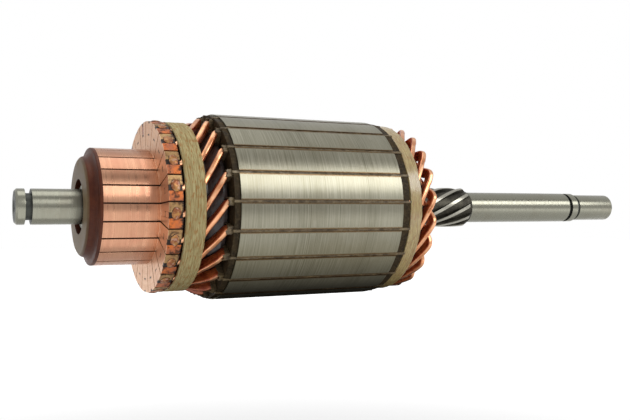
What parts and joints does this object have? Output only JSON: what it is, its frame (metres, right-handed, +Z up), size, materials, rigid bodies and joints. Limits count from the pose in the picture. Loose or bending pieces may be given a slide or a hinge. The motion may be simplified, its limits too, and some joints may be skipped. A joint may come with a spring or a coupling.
{
  "type": "motor armature",
  "caption": "Wound starter-motor armature: slotted steel core, hairpin coils and flat-track copper commutator with risers, on a ground shaft with a helical spline.",
  "frame": {"origin": "on the shaft axis, at the middle of the commutator-end journal", "axes": "+X along the shaft from the commutator end to the drive end; Y and Z across the shaft, with +Z up and the first winding slot 3.1 degrees above -Y"},
  "size_m": [0.3061, 0.078, 0.078],
  "materials": {
    "shaft_steel": "ground bearing steel with fine turning lines, bright on the journals and blackened in the grooves",
    "core_steel": "turned edges of thin steel sheets, fine lines round the core and a warm grey varnish haze",
    "commutator_copper": "freshly turned copper, pale pink and satin",
    "conductor_copper": "drawn copper strip under clear varnish, bright on the outer edges and red in the gaps",
    "phenolic_moulding": "dark red-brown phenolic moulding, glossy on the round sides and machined dull on the face",
    "mica": "undercut mica, dark and dull",
    "disc_fibre": "dark brown fibre board soaked with resin",
    "liner_paper": "brown slot paper with ragged edges and resin",
    "band_glass_fibre": "wound glass-fibre tape in yellow resin, streaked round the armature"
  },
  "bodies": {
    "root": {"armature_shaft": "shaft_steel", "lamination_core": "core_steel", "commutator_moulding": "phenolic_moulding", "commutator_bush": "shaft_steel", "mica_separators": "mica", "comm_end_insulating_disc": "disc_fibre", "drive_end_insulating_disc": "disc_fibre", "slot_liners": "liner_paper", "comm_end_layer_paper": "liner_paper", "drive_end_layer_paper": "liner_paper", "comm_end_binding_band": "band_glass_fibre", "drive_end_binding_band": "band_glass_fibre", "commutator_bar_01": "commutator_copper", "commutator_bar_02": "commutator_copper", "commutator_bar_03": "commutator_copper", "commutator_bar_04": "commutator_copper", "commutator_bar_05": "commutator_copper", "commutator_bar_06": "commutator_copper", "commutator_bar_07": "commutator_copper", "commutator_bar_08": "commutator_copper", "commutator_bar_09": "commutator_copper", "commutator_bar_10": "commutator_copper", "commutator_bar_11": "commutator_copper", "commutator_bar_12": "commutator_copper", "commutator_bar_13": "commutator_copper", "commutator_bar_14": "commutator_copper", "commutator_bar_15": "commutator_copper", "commutator_bar_16": "commutator_copper", "commutator_bar_17": "commutator_copper", "commutator_bar_18": "commutator_copper", "commutator_bar_19": "commutator_copper", "commutator_bar_20": "commutator_copper", "commutator_bar_21": "commutator_copper", "coil_01": "conductor_copper", "coil_02": "conductor_copper", "coil_03": "conductor_copper", "coil_04": "conductor_copper", "coil_05": "conductor_copper", "coil_06": "conductor_copper", "coil_07": "conductor_copper", "coil_08": "conductor_copper", "coil_09": "conductor_copper", "coil_10": "conductor_copper", "coil_11": "conductor_copper", "coil_12": "conductor_copper", "coil_13": "conductor_copper", "coil_14": "conductor_copper", "coil_15": "conductor_copper", "coil_16": "conductor_copper", "coil_17": "conductor_copper", "coil_18": "conductor_copper", "coil_19": "conductor_copper", "coil_20": "conductor_copper", "coil_21": "conductor_copper"}
  },
  "joints": []
}
